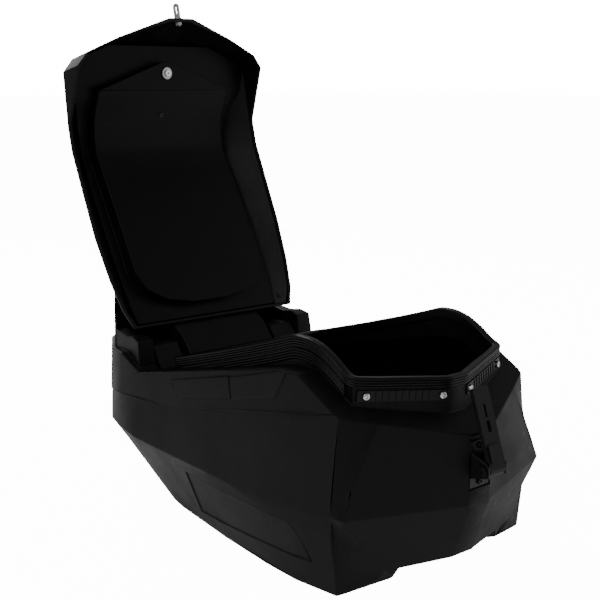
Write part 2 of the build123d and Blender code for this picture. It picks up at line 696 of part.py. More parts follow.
with BuildPart() as bracket_screws:
    for z in (108, 148):
        with BuildSketch(Plane.XZ.offset(-RECESS_Y + 2.5)) as head:
            with Locations((0, z)):
                Circle(4.0)
        extrude(head.sketch, amount=1.8)
        with BuildSketch(Plane.XZ.offset(-RECESS_Y + 2.5)) as shank:
            with Locations((0, z)):
                Circle(1.95)
        extrude(shank.sketch, amount=-11.0)
bracket_screws.part.label = "bracket_screws"
export_step(bracket_screws.part, "parts/bracket_screws.step")

with BuildPart() as latch_sleeve:
    rod(-STRAP_HALF, STRAP_HALF, LATCH_SLEEVE_R, centre=(LATCH_Y, LATCH_Z))
    rod(-STRAP_HALF - 1, STRAP_HALF + 1, LATCH_BOLT_R + PIN_GAP, mode=Mode.SUBTRACT, centre=(LATCH_Y, LATCH_Z))
latch_sleeve.part.label = "latch_sleeve"
export_step(latch_sleeve.part, "parts/latch_sleeve.step")

STRAP_TOP = Vector(0, -284.5, 211.7)
STRAP_FOOT = Vector(0, LATCH_Y - STRAP_BOSS_R, LATCH_Z + 1.0)
STRAP_UP = (STRAP_TOP - STRAP_FOOT).normalized()
STRAP_OUT = Vector(0, -STRAP_UP.Z, STRAP_UP.Y)
with BuildPart() as latch_strap:
    strap_edge = [STRAP_FOOT, STRAP_TOP, STRAP_TOP - STRAP_OUT * STRAP_THICK, STRAP_FOOT - STRAP_OUT * STRAP_THICK]
    side_profile([(p.Y, p.Z) for p in strap_edge], start=-STRAP_HALF, end=STRAP_HALF)
    rod(-STRAP_HALF, STRAP_HALF, STRAP_BOSS_R, centre=(LATCH_Y, LATCH_Z))
    rod(-STRAP_HALF - 1, STRAP_HALF + 1, LATCH_SLEEVE_R, mode=Mode.SUBTRACT, centre=(LATCH_Y, LATCH_Z))
    front = Plane(STRAP_FOOT, x_dir=(1, 0, 0), z_dir=STRAP_OUT)
    with BuildSketch(front) as patch:
        with Locations((0, 17)):
            RectangleRounded(20, 20, 2)
    extrude(patch.sketch, amount=2.0)
    # slot that passes over the padlock eye, and the finger slot above it
    with BuildSketch(front.offset(5)) as slots:
        with Locations((0, 46.5)):
            SlotOverall(13, 6, rotation=90)
        with Locations((0, 63.5)):
            SlotOverall(15, 3.2, rotation=90)
    extrude(slots.sketch, amount=-20, mode=Mode.SUBTRACT)
latch_strap.part.label = "latch_strap"
export_step(latch_strap.part, "parts/latch_strap.step")
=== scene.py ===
"""Looks for a hard moulded saddlebag: grained black shells, rubber seal and strap, screws and a studio."""

from __future__ import annotations

import json
import logging
import math
from dataclasses import dataclass, field
from enum import Enum

import bmesh
import bpy
from mathutils import Matrix, Vector
from mathutils.bvhtree import BVHTree


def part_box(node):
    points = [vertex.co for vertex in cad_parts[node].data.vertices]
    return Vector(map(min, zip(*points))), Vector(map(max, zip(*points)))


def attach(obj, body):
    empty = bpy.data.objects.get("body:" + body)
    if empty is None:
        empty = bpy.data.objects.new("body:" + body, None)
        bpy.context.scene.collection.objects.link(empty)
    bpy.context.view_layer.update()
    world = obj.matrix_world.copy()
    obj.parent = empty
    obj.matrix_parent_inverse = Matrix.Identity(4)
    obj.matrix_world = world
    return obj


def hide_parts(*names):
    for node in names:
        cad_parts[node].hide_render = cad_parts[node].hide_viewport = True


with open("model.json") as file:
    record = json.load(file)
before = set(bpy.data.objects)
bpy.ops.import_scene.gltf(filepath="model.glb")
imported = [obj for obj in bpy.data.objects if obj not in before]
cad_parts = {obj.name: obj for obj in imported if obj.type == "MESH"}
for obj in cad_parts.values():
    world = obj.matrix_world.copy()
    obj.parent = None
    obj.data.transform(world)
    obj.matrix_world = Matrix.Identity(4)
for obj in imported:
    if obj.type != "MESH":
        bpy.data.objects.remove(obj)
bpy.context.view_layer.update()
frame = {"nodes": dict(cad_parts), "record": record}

LOG = logging.getLogger("saddlebag")
MM = 0.001
DUST_COLOUR = (0.32, 0.31, 0.30)
# sockets of the colour form of a Mix node
MIX_FACTOR, MIX_FIRST, MIX_SECOND, MIX_RESULT = 0, 6, 7, 2
# points of a copied mesh that are closer than this count as one
MERGE_DISTANCE = 0.02 * MM
# how a screw's head rises towards its middle: inwards and upwards, as shares of its radius
HEAD_CROWN = [(0.1, 0.1), (0.16, 0.09), (0.22, 0.05), (0.06, 0.0)]
# a flat face is a screw's head if its area is within this share of the head's, and it has enough corners
HEAD_AREA_SHARE = 0.12
HEAD_CORNERS = 10
# recess in a screw's head: number of lobes, their depth and the recess's depth as shares of its radius
LOBES = 6
LOBE_DEPTH = 0.13
RECESS_DEPTH = 0.4
RECESS_DRAFT = 0.05 * MM


# ---------------------------------------------------------------- shader groups


class GroupName(Enum):
    """Names of the shared shader node groups."""

    GRAIN = "moulded_grain"
    SCUFF = "handling_scuffs"
    DUST = "settled_dust"


@dataclass(frozen=True)
class Socket:
    """One input or output of a shader node group."""

    name: str
    kind: str
    is_input: bool
    value: float = 0.0


class GroupBuilder:
    """Makes a shader node group and keeps its nodes and links short to write."""

    def __init__(self, name: GroupName, sockets: list[Socket]) -> None:
        """Start a group.

        Args:
            name: the group's name.
            sockets: its inputs and outputs.
        """
        self.tree = bpy.data.node_groups.new(name.value, "ShaderNodeTree")
        for socket in sockets:
            direction = "INPUT" if socket.is_input else "OUTPUT"
            made = self.tree.interface.new_socket(socket.name, in_out=direction, socket_type=socket.kind)
            if socket.is_input and socket.kind == "NodeSocketFloat":
                made.default_value = socket.value
        self.start = self.tree.nodes.new("NodeGroupInput")
        self.end = self.tree.nodes.new("NodeGroupOutput")

    def node(self, kind: str, **settings: object) -> bpy.types.Node:
        """Add a node.

        Args:
            kind: the node's type.
            settings: properties to set on it.

        Returns:
            The node.
        """
        made = self.tree.nodes.new(kind)
        for key, value in settings.items():
            setattr(made, key, value)
        return made

    def link(self, source: bpy.types.NodeSocket, target: bpy.types.NodeSocket) -> None:
        """Join two sockets."""
        self.tree.links.new(source, target)

    def scaled(self, vector: bpy.types.NodeSocket, scale: bpy.types.NodeSocket) -> bpy.types.NodeSocket:
        """Multiply a vector by a number.

        Args:
            vector: the vector's socket.
            scale: the number's socket.

        Returns:
            The scaled vector's socket.
        """
        made = self.node("ShaderNodeVectorMath", operation="SCALE")
        self.link(vector, made.inputs[0])
        self.link(scale, made.inputs["Scale"])
        return made.outputs[0]

    def ramp(self, value: bpy.types.NodeSocket, low: float, high: float) -> bpy.types.NodeSocket:
        """Stretch a value between two limits to 0..1, without going past them.

        Args:
            value: the socket to read.
            low: the value that becomes 0.
            high: the value that becomes 1.

        Returns:
            The stretched value's socket.
        """
        made = self.node("ShaderNodeMapRange", interpolation_type="SMOOTHSTEP")
        made.inputs["From Min"].default_value = low
        made.inputs["From Max"].default_value = high
        self.link(value, made.inputs["Value"])
        return made.outputs["Result"]


def build_grain_group() -> bpy.types.NodeTree:
    """Pebbled grain of a moulded shell, as a height.

    Returns:
        The node group.
    """
    group = GroupBuilder(
        GroupName.GRAIN,
        [
            Socket("Vector", "NodeSocketVector", True),
            Socket("Scale", "NodeSocketFloat", True, 900.0),
            Socket("Height", "NodeSocketFloat", False),
        ],
    )
    place = group.scaled(group.start.outputs["Vector"], group.start.outputs["Scale"])
    pebbles = group.node("ShaderNodeTexVoronoi", feature="SMOOTH_F1")
    pebbles.inputs["Scale"].default_value = 1.0
    pebbles.inputs["Smoothness"].default_value = 0.6
    group.link(place, pebbles.inputs["Vector"])
    fine = group.node("ShaderNodeTexNoise")
    fine.inputs["Scale"].default_value = 2.4
    fine.inputs["Detail"].default_value = 3.0
    group.link(place, fine.inputs["Vector"])
    both = group.node("ShaderNodeMath", operation="MULTIPLY_ADD")
    both.inputs[1].default_value = 0.45
    group.link(fine.outputs["Fac"], both.inputs[0])
    group.link(pebbles.outputs["Distance"], both.inputs[2])
    group.link(both.outputs[0], group.end.inputs["Height"])
    return group.tree


def build_scuff_group() -> bpy.types.NodeTree:
    """Faint rubbed patches and short scuffs.

    Returns:
        The node group.
    """
    group = GroupBuilder(
        GroupName.SCUFF,
        [
            Socket("Vector", "NodeSocketVector", True),
            Socket("Scale", "NodeSocketFloat", True, 9.0),
            Socket("Patches", "NodeSocketFloat", False),
            Socket("Scratches", "NodeSocketFloat", False),
        ],
    )
    place = group.scaled(group.start.outputs["Vector"], group.start.outputs["Scale"])
    cloudy = group.node("ShaderNodeTexNoise")
    cloudy.inputs["Scale"].default_value = 1.0
    cloudy.inputs["Detail"].default_value = 6.0
    cloudy.inputs["Roughness"].default_value = 0.62
    group.link(place, cloudy.inputs["Vector"])
    group.link(group.ramp(cloudy.outputs["Fac"], 0.38, 0.68), group.end.inputs["Patches"])
    stretch = group.node("ShaderNodeVectorMath", operation="MULTIPLY")
    stretch.inputs[1].default_value = (4.0, 38.0, 9.0)
    group.link(place, stretch.inputs[0])
    streaks = group.node("ShaderNodeTexNoise")
    streaks.inputs["Scale"].default_value = 1.0
    streaks.inputs["Detail"].default_value = 2.0
    streaks.inputs["Distortion"].default_value = 0.4
    group.link(stretch.outputs[0], streaks.inputs["Vector"])
    group.link(group.ramp(streaks.outputs["Fac"], 0.66, 0.74), group.end.inputs["Scratches"])
    return group.tree


def build_dust_group() -> bpy.types.NodeTree:
    """Dust that settles on surfaces facing up.

    Returns:
        The node group.
    """
    group = GroupBuilder(
        GroupName.DUST,
        [
            Socket("Vector", "NodeSocketVector", True),
            Socket("Normal", "NodeSocketVector", True),
            Socket("Mask", "NodeSocketFloat", False),
        ],
    )
    up = group.node("ShaderNodeSeparateXYZ")
    group.link(group.start.outputs["Normal"], up.inputs[0])
    facing = group.ramp(up.outputs["Z"], 0.35, 1.0)
    specks = group.node("ShaderNodeTexNoise")
    specks.inputs["Scale"].default_value = 55.0
    specks.inputs["Detail"].default_value = 8.0
    specks.inputs["Roughness"].default_value = 0.75
    group.link(group.start.outputs["Vector"], specks.inputs["Vector"])
    speckle = group.ramp(specks.outputs["Fac"], 0.45, 0.75)
    both = group.node("ShaderNodeMath", operation="MULTIPLY")
    group.link(facing, both.inputs[0])
    group.link(speckle, both.inputs[1])
    group.link(both.outputs[0], group.end.inputs["Mask"])
    return group.tree


# ---------------------------------------------------------------- finishes


@dataclass(frozen=True)
class Finish:
    """A procedural finish: colours, gloss, grain and wear of one material."""

    name: str
    colour: tuple[float, float, float]
    worn_colour: tuple[float, float, float]
    roughness: float
    rough_spread: float = 0.12
    metallic: float = 0.0
    specular: float = 0.5
    grain_scale: float = 900.0
    grain_depth: float = 0.25
    grain_height: float = 0.0002
    scuff_scale: float = 9.0
    scratch_gloss: float = 0.12
    dust: float = 0.01

    def build(self) -> bpy.types.Material:
        """Make the material.

        Returns:
            The material, with its node tree.
        """
        material = bpy.data.materials.new(self.name)
        material.use_nodes = True
        material.diffuse_color = (*self.colour, 1.0)
        tree = material.node_tree
        shader = tree.nodes["Principled BSDF"]
        shader.inputs["Metallic"].default_value = self.metallic
        shader.inputs["Specular IOR Level"].default_value = self.specular
        place = tree.nodes.new("ShaderNodeTexCoord").outputs["Object"]
        grain = self._group(tree, GroupName.GRAIN, place, self.grain_scale)
        scuff = self._group(tree, GroupName.SCUFF, place, self.scuff_scale)
        dust = self._group(tree, GroupName.DUST, place, None)
        tree.links.new(tree.nodes.new("ShaderNodeNewGeometry").outputs["Normal"], dust.inputs["Normal"])

        worn = self._mix(tree, self.colour, self.worn_colour)
        tree.links.new(scuff.outputs["Patches"], worn.inputs[MIX_FACTOR])
        dusty = self._mix(tree, self.colour, DUST_COLOUR)
        weight = tree.nodes.new("ShaderNodeMath")
        weight.operation = "MULTIPLY"
        weight.inputs[1].default_value = self.dust
        tree.links.new(dust.outputs["Mask"], weight.inputs[0])
        tree.links.new(weight.outputs[0], dusty.inputs[MIX_FACTOR])
        tree.links.new(worn.outputs[MIX_RESULT], dusty.inputs[MIX_FIRST])
        tree.links.new(dusty.outputs[MIX_RESULT], shader.inputs["Base Color"])

        half_spread = self.rough_spread / 2
        rough = self._range(tree, self.roughness - half_spread, self.roughness + half_spread)
        tree.links.new(scuff.outputs["Patches"], rough.inputs["Value"])
        gloss = tree.nodes.new("ShaderNodeMath")
        gloss.operation = "MULTIPLY_ADD"
        gloss.inputs[1].default_value = -self.scratch_gloss
        tree.links.new(scuff.outputs["Scratches"], gloss.inputs[0])
        tree.links.new(rough.outputs["Result"], gloss.inputs[2])
        tree.links.new(gloss.outputs[0], shader.inputs["Roughness"])

        bump = tree.nodes.new("ShaderNodeBump")
        bump.inputs["Strength"].default_value = self.grain_depth
        bump.inputs["Distance"].default_value = self.grain_height
        tree.links.new(grain.outputs["Height"], bump.inputs["Height"])
        tree.links.new(bump.outputs["Normal"], shader.inputs["Normal"])
        return material

    @staticmethod
    def _group(
        tree: bpy.types.NodeTree, name: GroupName, place: bpy.types.NodeSocket, scale: float | None
    ) -> bpy.types.Node:
        """Place a shared group in a material and feed it.

        Args:
            tree: the material's nodes.
            name: the group's name.
            place: the coordinates it reads.
            scale: how fine its pattern is, or None where it has no such input.

        Returns:
            The group's node.
        """
        made = tree.nodes.new("ShaderNodeGroup")
        made.node_tree = bpy.data.node_groups[name.value]
        tree.links.new(place, made.inputs["Vector"])
        if scale is not None:
            made.inputs["Scale"].default_value = scale
        return made

    @staticmethod
    def _mix(
        tree: bpy.types.NodeTree, first: tuple[float, float, float], second: tuple[float, float, float]
    ) -> bpy.types.Node:
        """Add a colour mix.

        Args:
            tree: the material's nodes.
            first: the colour at 0.
            second: the colour at 1.

        Returns:
            The mix node, whose factor is its first input.
        """
        made = tree.nodes.new("ShaderNodeMix")
        made.data_type = "RGBA"
        made.inputs[MIX_FIRST].default_value = (*first, 1.0)
        made.inputs[MIX_SECOND].default_value = (*second, 1.0)
        return made

    @staticmethod
    def _range(tree: bpy.types.NodeTree, low: float, high: float) -> bpy.types.Node:
        """Add a node that turns 0..1 into low..high."""
        made = tree.nodes.new("ShaderNodeMapRange")
        made.inputs["To Min"].default_value = low
        made.inputs["To Max"].default_value = high
        return made


class Look(Enum):
    """The finishes of this object."""

    SHELL = Finish(
        "shell_plastic", (0.0022, 0.0022, 0.0024), (0.0034, 0.0034, 0.0036), 0.5, specular=0.16, grain_scale=780.0
    )
    LINER = Finish(
        "liner_plastic",
        (0.0016, 0.0016, 0.0018),
        (0.0026, 0.0026, 0.0028),
        0.46,
        specular=0.12,
        grain_scale=1300.0,
        grain_depth=0.12,
        dust=0.004,
    )
    DARK = Finish(
        "dark_plastic", (0.006, 0.006, 0.0065), (0.009, 0.009, 0.0095), 0.5, specular=0.2, grain_depth=0.1
    )
    SEAL = Finish(
        "seal_rubber",
        (0.0018, 0.0018, 0.002),
        (0.003, 0.003, 0.003),
        0.3,
        specular=0.2,
        grain_scale=2200.0,
        grain_depth=0.08,
    )
    STRAP = Finish(
        "strap_rubber",
        (0.0024, 0.0024, 0.0026),
        (0.0045, 0.0045, 0.0045),
        0.55,
        specular=0.2,
        grain_scale=1800.0,
        grain_depth=0.15,
    )
    BRIGHT = Finish(
        "bright_steel",
        (0.74, 0.74, 0.75),
        (0.62, 0.62, 0.63),
        0.2,
        metallic=1.0,
        grain_scale=3000.0,
        grain_depth=0.05,
        scuff_scale=60.0,
        scratch_gloss=0.05,
        dust=0.02,
    )
    ZINC = Finish(
        "zinc_steel",
        (0.5, 0.51, 0.52),
        (0.4, 0.4, 0.41),
        0.38,
        metallic=1.0,
        grain_scale=2400.0,
        grain_depth=0.1,
        scuff_scale=50.0,
        dust=0.03,
    )
    CAST = Finish(
        "cast_metal",
        (0.6, 0.6, 0.58),
        (0.48, 0.48, 0.47),
        0.34,
        metallic=1.0,
        grain_scale=2600.0,
        grain_depth=0.22,
        scuff_scale=70.0,
        dust=0.03,
    )
    PAINTED = Finish(
        "dark_metal",
        (0.003, 0.003, 0.0033),
        (0.006, 0.006, 0.006),
        0.38,
        specular=0.3,
        grain_scale=1600.0,
        grain_depth=0.1,
    )


@dataclass
class Palette:
    """The materials, built once each."""

    made: dict[Look, bpy.types.Material] = field(default_factory=dict)

    def prepare(self) -> None:
        """Build the shared groups and every material."""
        build_grain_group()
        build_scuff_group()
        build_dust_group()
        for look in Look:
            self.made[look] = look.value.build()

    def get(self, look: Look) -> bpy.types.Material:
        """Return the material of a finish."""
        return self.made[look]


SLOT_LOOKS = {
    "shell_plastic": Look.SHELL,
    "liner_plastic": Look.LINER,
    "dark_plastic": Look.DARK,
    "seal_rubber": Look.SEAL,
    "strap_rubber": Look.STRAP,
    "bright_steel": Look.BRIGHT,
    "zinc_steel": Look.ZINC,
    "cast_metal": Look.CAST,
    "dark_metal": Look.PAINTED,
}


# ---------------------------------------------------------------- pieces


def finish_piece(
    name: str, shape: bmesh.types.BMesh, look: Look, palette: Palette, *nodes: str
) -> bpy.types.Object:
    """Turn a shape into a piece that stands for CAD nodes and moves with their body.

    Args:
        name: the piece's name.
        shape: its mesh, in metres, which is freed.
        look: its finish.
        palette: the materials.
        nodes: the CAD nodes that it replaces.

    Returns:
        The piece.
    """
    mesh = bpy.data.meshes.new(name)
    shape.to_mesh(mesh)
    shape.free()
    mesh.materials.append(palette.get(look))
    piece = bpy.data.objects.new(name, mesh)
    bpy.context.scene.collection.objects.link(piece)
    body = next(body for body, members in frame["record"]["behaviour"]["bodies"].items() if nodes[0] in members)
    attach(piece, body)
    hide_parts(*nodes)
    LOG.info("piece %s: %d faces", name, len(mesh.polygons))
    return piece


def slot_of(node: str) -> str:
    """Material slot of a CAD node in the record."""
    return next(part["material_slot"] for part in frame["record"]["subparts"] if part["node"] == node)


def dress_cad_nodes(palette: Palette) -> None:
    """Give every CAD node that still shows its own procedural material.

    Args:
        palette: the materials.
    """
    for node, thing in frame["nodes"].items():
        material = palette.get(SLOT_LOOKS[slot_of(node)])
        for slot in thing.material_slots:
            slot.material = material
        LOG.info("node %s: %s", node, material.name)


def clean_copy(node: str, flat_angle: float) -> bmesh.types.BMesh:
    """Copy a CAD node's mesh with its flat faces whole.

    Args:
        node: the node.
        flat_angle: degrees up to which two faces count as one.

    Returns:
        The copy.
    """
    shape = bmesh.new()
    shape.from_mesh(frame["nodes"][node].data)
    bmesh.ops.remove_doubles(shape, verts=shape.verts, dist=MERGE_DISTANCE)
    bmesh.ops.dissolve_limit(
        shape, angle_limit=math.radians(flat_angle), verts=shape.verts, edges=shape.edges, delimit=set()
    )
    return shape


def sweep(section: list[tuple[float, float]], stations: list[Matrix], closed: bool) -> bmesh.types.BMesh:
    """Carry a closed section along a row of places and bridge it from each to the next.

    Args:
        section: the section's outline, outwards and upwards.
        stations: where it stands: outwards, upwards and lengthwise axes, and a place.
        closed: whether the row ends where it starts.

    Returns:
        The mesh.
    """
    shape = bmesh.new()
    rings = []
    for station in stations:
        corners = [shape.verts.new(station @ Vector((out, up, 0.0))) for out, up in section]
        rings.append([shape.edges.new(pair) for pair in zip(corners, corners[1:] + corners[:1])])
    following = rings[1:] + rings[:1] if closed else rings[1:]
    for ring, next_ring in zip(rings, following):
        bmesh.ops.bridge_loops(shape, edges=ring + next_ring)
    if not closed:
        for ring in (rings[0], rings[-1]):
            bmesh.ops.edgeloop_fill(shape, edges=ring)
    bmesh.ops.recalc_face_normals(shape, faces=shape.faces)
    return shape


@dataclass
class RoundedCopy:
    """A moulded or machined piece: the CAD node's faces with its sharp edges rounded."""

    node: str
    look: Look
    radius: float
    segments: int = 2
    least_angle: float = 22.0
    least_length: float = 3.0
    head_radius: float = 0.0
    flat_angle: float = 1.2

    def build(self, palette: Palette) -> bpy.types.Object:
        """Round the edges and make the piece.

        Args:
            palette: the materials.

        Returns:
            The piece, which replaces its node.
        """
        shape = clean_copy(self.node, self.flat_angle)
        for face in self._heads(shape):
            self._dome(shape, face)
        bmesh.ops.bevel(
            shape,
            geom=[edge for edge in shape.edges if self._is_sharp(edge)],
            offset=self.radius,
            offset_type="OFFSET",
            affect="EDGES",
            segments=self.segments,
            profile=0.5,
            clamp_overlap=False,
            loop_slide=True,
            material=-1,
        )
        bmesh.ops.remove_doubles(shape, verts=shape.verts, dist=MERGE_DISTANCE)
        piece = finish_piece(f"{self.node}_rounded", shape, self.look, palette, self.node)
        smooth_faces(piece)
        return piece

    def _heads(self, shape: bmesh.types.BMesh) -> list[bmesh.types.BMFace]:
        """Find the flat round faces of the screw heads.

        Args:
            shape: the copy of the node.

        Returns:
            The faces whose area is that of a head, or none where the piece has no heads.
        """
        if not self.head_radius:
            return []
        area = math.pi * self.head_radius**2
        return [
            face
            for face in shape.faces
            if abs(face.calc_area() / area - 1.0) < HEAD_AREA_SHARE and len(face.verts) > HEAD_CORNERS
        ]

    def _dome(self, shape: bmesh.types.BMesh, face: bmesh.types.BMFace) -> None:
        """Crown a screw's head and sink a six-lobed recess in it.

        Args:
            shape: the mesh.
            face: the head's flat face.
        """
        for inwards, upwards in HEAD_CROWN:
            bmesh.ops.inset_region(
                shape, faces=[face], thickness=inwards * self.head_radius, depth=upwards * self.head_radius
            )
        centre = face.calc_center_median()
        start = face.verts[0].co - centre
        side = face.normal.cross(start)
        for corner in face.verts:
            arm = corner.co - centre
            turn = math.atan2(arm.dot(side) / side.length, arm.dot(start) / start.length)
            corner.co = centre + arm * (1.0 + LOBE_DEPTH * math.cos(LOBES * turn))
        bmesh.ops.inset_region(
            shape, faces=[face], thickness=RECESS_DRAFT, depth=-RECESS_DEPTH * self.head_radius
        )

    def _is_sharp(self, edge: bmesh.types.BMEdge) -> bool:
        """Whether an edge is sharp and long enough to round."""
        if len(edge.link_faces) != 2 or edge.calc_length() < self.least_length * self.radius:
            return False
        return edge.calc_face_angle(0.0) > math.radians(self.least_angle)


def smooth_faces(piece: bpy.types.Object, sharp_angle: float = 50.0) -> None:
    """Shade a piece smoothly, keep its flats flat and its sharpest edges sharp.

    Args:
        piece: the piece.
        sharp_angle: degrees between two faces from which their edge stays sharp.
    """
    piece.data.shade_smooth()
    piece.data.set_sharp_from_angle(angle=math.radians(sharp_angle))
    weighted = piece.modifiers.new("flat_faces", "WEIGHTED_NORMAL")
    weighted.keep_sharp = True
    weighted.weight = 80


@dataclass
class NeckRubber:
    """Rubber round the neck: a ridged seal on its rim and ridged strips down its sides."""

    overhang: float = 3.0 * MM
    corner_y: float = -214.0 * MM
    tip_half: float = 14.0 * MM
    wall: float = 4.0 * MM
    front_round: float = 11.0 * MM
    tip_round: float = 26.0 * MM
    rear_round: float = 7.0 * MM
    spacing: float = 3.0 * MM
    smoothing: int = 4
    ridge_high: float = 3.0 * MM
    ridge_deep: float = 0.9 * MM
    ridge_steps: int = 6
    seal_drop: float = 9.0 * MM
    seal_high: float = 4.0 * MM
    ridge_top: float = -0.6 * MM
    bulb: float = 3.3 * MM
    bulb_out: float = 0.4 * MM
    bulb_steps: int = 12
    bulb_square: float = 0.6
    foot_chamfer: float = 0.6 * MM
    arc_step: float = 10.0
    straight_share: float = 0.999
    strip_ends: tuple[float, float] = (-205.0 * MM, 76.0 * MM)
    strip_edges: tuple[float, float] = (-23.0 * MM, -10.6 * MM)
    strip_thick: float = 1.5 * MM

    def build(self, palette: Palette) -> None:
        """Make the seal and the strips.

        Args:
            palette: the materials.
        """
        ring = sweep(self._seal_section(), self._ring(), True)
        seal = finish_piece("ridged_seal", ring, Look.SEAL, palette, "rim_seal")
        smooth_faces(seal, 40.0)
        for side, name in ((-1.0, "left"), (1.0, "right")):
            node = f"side_strip_{name}"
            shape = sweep(self._strip_section(), self._side_row(side), False)
            smooth_faces(finish_piece(f"side_ridges_{name}", shape, Look.SEAL, palette, node), 40.0)

    def _ridges(self, low: float, high: float, out: float) -> list[tuple[float, float]]:
        """Outline of a ridged face, from its bottom to its top.

        Args:
            low: its bottom edge.
            high: its top edge.
            out: how far out its hollows lie.

        Returns:
            The points.
        """
        ridges = max(1, round((high - low) / self.ridge_high))
        steps = self.ridge_steps * ridges
        points = []
        for step in range(steps + 1):
            wave = abs(math.sin(math.pi * ridges * step / steps))
            points.append((out + self.ridge_deep * math.sqrt(wave), low + (high - low) * step / steps))
        return points

    def _seal_section(self) -> list[tuple[float, float]]:
        """Outline of the seal, clasping the wall's top: outwards from the wall, upwards from the rim.

        Returns:
            The points, anticlockwise.
        """
        inside = -self.wall - self.overhang
        foot = -self.seal_drop
        outside = [(0.0, foot), *self._ridges(foot, self.ridge_top, self.overhang - self.ridge_deep)]
        middle = 0.5 * (self.overhang + self.bulb_out + inside)
        reach = 0.5 * (self.overhang + self.bulb_out - inside)
        crown = []
        for step in range(self.bulb_steps + 1):
            turn = math.pi * step / self.bulb_steps
            out = math.copysign(abs(math.cos(turn)) ** self.bulb_square, math.cos(turn))
            crown.append((middle + reach * out, self.bulb * math.sin(turn) ** self.bulb_square))
        clasp = [
            (inside, foot + self.foot_chamfer),
            (inside + self.foot_chamfer, foot),
            (-self.wall, foot),
            (-self.wall, 0.0),
            (0.0, 0.0),
        ]
        return outside + crown + clasp

    def _strip_section(self) -> list[tuple[float, float]]:
        """Outline of a side strip on the wall."""
        low, high = self.strip_edges
        return [(0.0, low), *self._ridges(low, high, self.strip_thick), (0.0, high)]

    def _outline(self) -> list[tuple[Vector, Vector]]:
        """Plan of the neck's outside, with round corners.

        Returns:
            Points and the outward directions at them, anticlockwise from the rear left corner.
        """
        low, high = (Vector(corner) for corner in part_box("rim_seal"))
        half, rear, tip = high.x - self.overhang, high.y - self.overhang, low.y + self.overhang
        corners = [
            (Vector((-half, rear)), self.rear_round),
            (Vector((-half, self.corner_y)), self.front_round),
            (Vector((-self.tip_half, tip)), self.tip_round),
            (Vector((self.tip_half, tip)), self.tip_round),
            (Vector((half, self.corner_y)), self.front_round),
            (Vector((half, rear)), self.rear_round),
        ]
        path: list[tuple[Vector, Vector]] = []
        earlier, later = corners[-1:] + corners, corners[1:] + corners[:1]
        for (before, _), (corner, radius), (after, _) in zip(earlier, corners, later):
            arrive, leave = (corner - before).normalized(), (after - corner).normalized()
            turn = arrive.angle(leave)
            start = corner - arrive * radius * math.tan(turn / 2)
            if path:
                path += self._straight(path[-1][0], start)
            outwards = Vector((arrive.y, -arrive.x))
            centre = start - outwards * radius
            steps = max(3, round(math.degrees(turn) / self.arc_step))
            for step in range(steps + 1):
                arm = outwards.copy()
                arm.rotate(Matrix.Rotation(turn * step / steps, 2))
                path.append((centre + arm * radius, arm))
        path += self._straight(path[-1][0], path[0][0])
        return path

    def _straight(self, start: Vector, end: Vector) -> list[tuple[Vector, Vector]]:
        """Points between the ends of a straight stretch, with the outward direction."""
        run = end - start
        count = max(1, round(run.length / self.spacing))
        outwards = Vector((run.y, -run.x)).normalized()
        return [(start + run * step / count, outwards) for step in range(1, count)]

    def _heights(self, path: list[tuple[Vector, Vector]]) -> list[float]:
        """Height of the rim along a closed path, evened out into smooth bends.

        Args:
            path: the points and outward directions.

        Returns:
            The heights.
        """
        shape = bmesh.new()
        shape.from_mesh(frame["nodes"]["rim_seal"].data)
        tree = BVHTree.FromBMesh(shape)
        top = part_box("rim_seal")[1][2]
        heights = []
        for place, outwards in path:
            above = place - outwards * self.wall / 2
            hit = tree.ray_cast(Vector((above.x, above.y, top + 0.1)), Vector((0.0, 0.0, -1.0)))[0]
            heights.append(hit.z - self.seal_high)
        shape.free()
        for _ in range(self.smoothing):
            heights = [
                (heights[index - 1] + 2.0 * height + heights[(index + 1) % len(heights)]) / 4.0
                for index, height in enumerate(heights)
            ]
        return heights

    def _ring(self) -> list[Matrix]:
        """Places of the seal's section, all the way round."""
        path = self._outline()
        return [self._place(*point, height) for point, height in zip(path, self._heights(path))]

    def _side_row(self, side: float) -> list[Matrix]:
        """Places of a side strip's section, along one side of the neck."""
        path = self._outline()
        rows = []
        for point, height in zip(path, self._heights(path)):
            place, outwards = point
            straight = outwards.x * side > self.straight_share
            if straight and self.strip_ends[0] < place.y < self.strip_ends[1]:
                rows.append(self._place(place, outwards, height))
        return rows

    @staticmethod
    def _place(place: Vector, outwards: Vector, height: float) -> Matrix:
        """Axes and place of a section on the rim."""
        along = Vector((-outwards.y, outwards.x))
        return Matrix(
            (
                (outwards.x, 0.0, along.x, place.x),
                (outwards.y, 0.0, along.y, place.y),
                (0.0, 1.0, 0.0, height),
                (0.0, 0.0, 0.0, 1.0),
            )
        )


